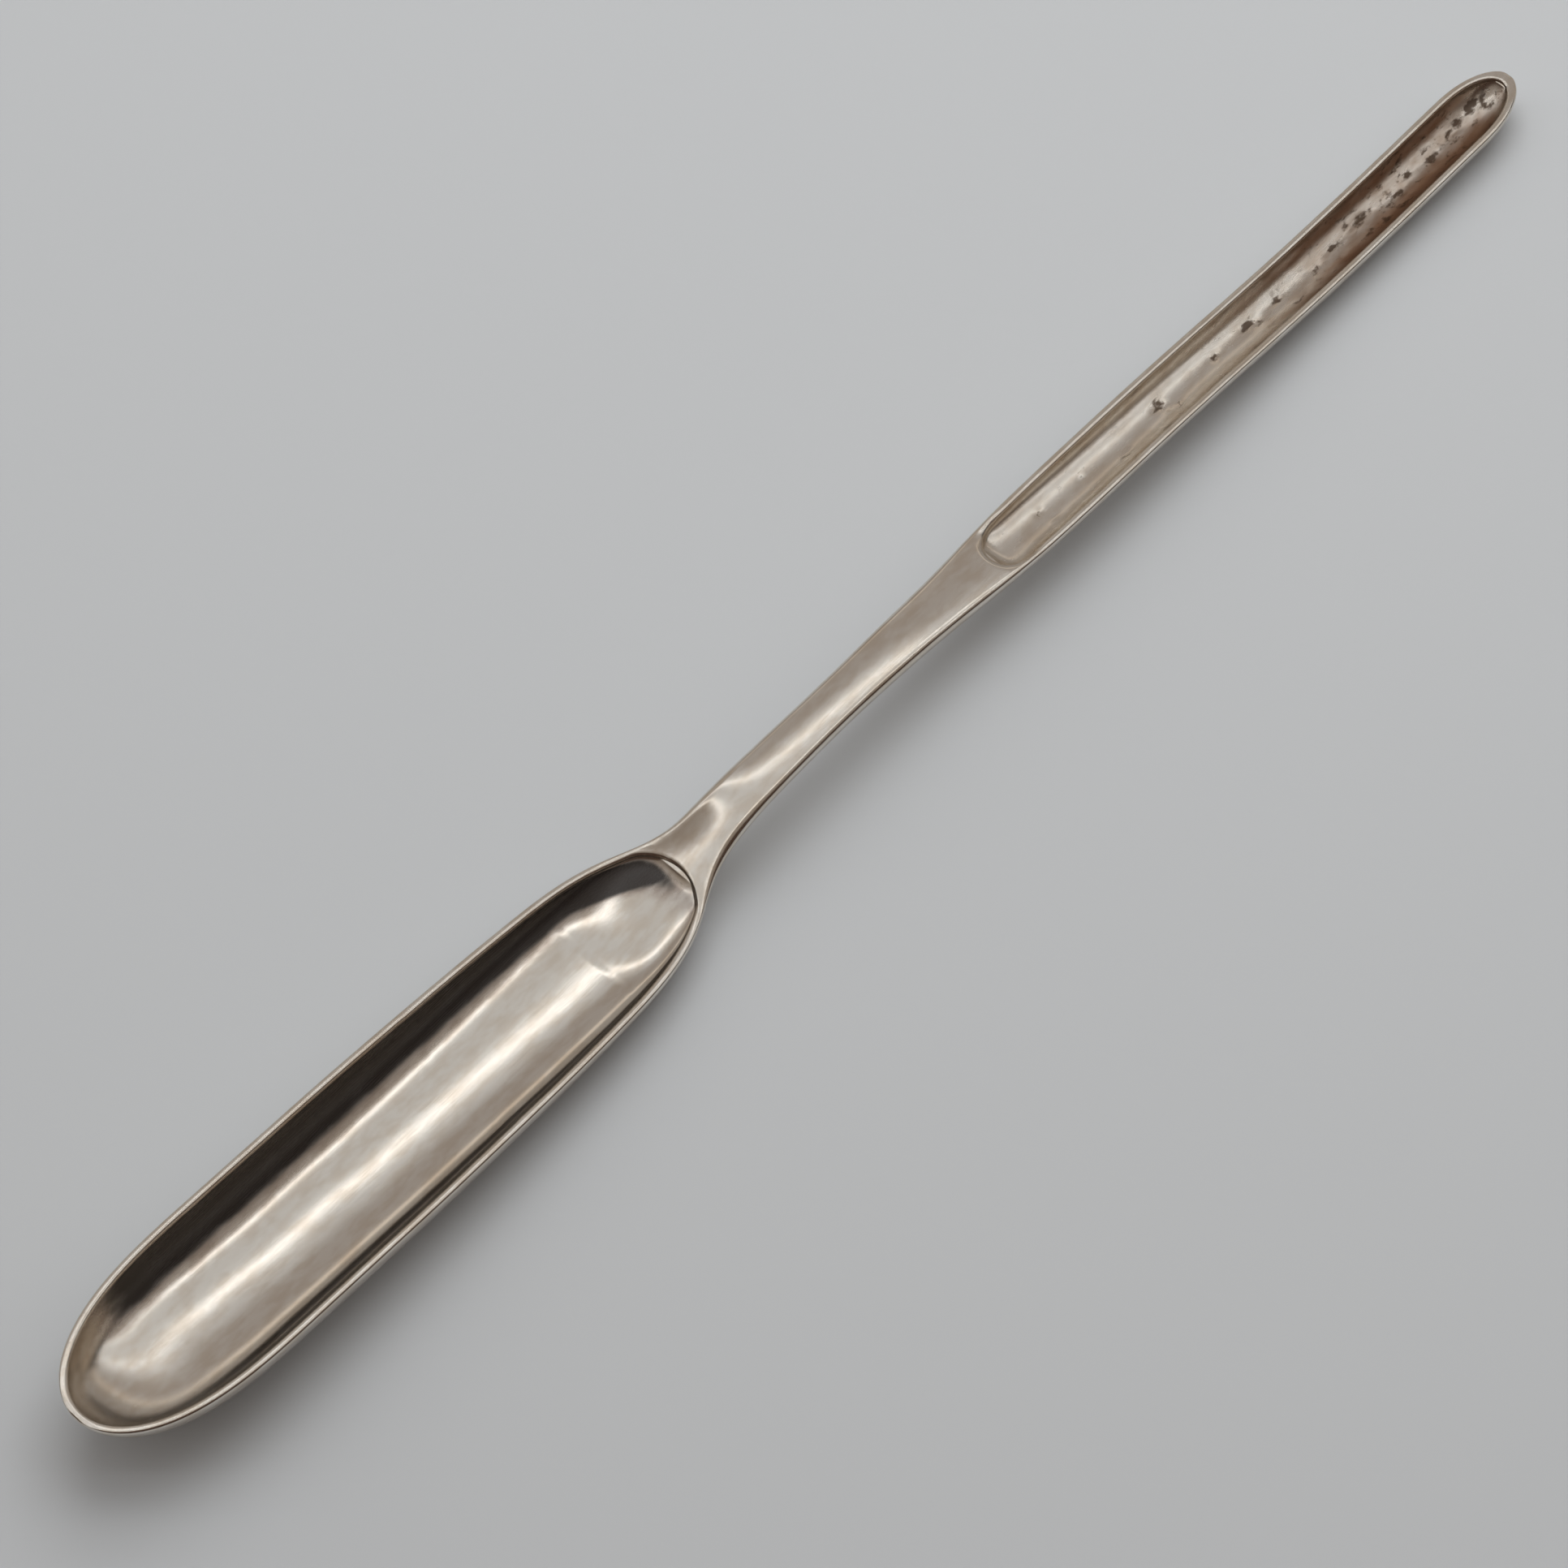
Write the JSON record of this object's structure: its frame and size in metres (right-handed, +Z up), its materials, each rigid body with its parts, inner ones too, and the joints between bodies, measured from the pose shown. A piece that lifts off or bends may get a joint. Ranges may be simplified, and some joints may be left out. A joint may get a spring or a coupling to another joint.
{
  "type": "marrow scoop",
  "caption": "Silver marrow scoop: long spoon bowl, slender arched shank and a narrow channel scoop with a rounded end",
  "frame": {"origin": "On the table plane under the middle of the object's length and width", "axes": "+X along the object from the bowl to the narrow scoop, +Y across it, +Z up out of the bowl"},
  "size_m": [0.225, 0.0186, 0.0107],
  "materials": {
    "silver": null
  },
  "bodies": {
    "root": {"bowl": "silver", "shank": "silver", "narrow_scoop": "silver", "heel_drop": "silver"}
  },
  "joints": []
}
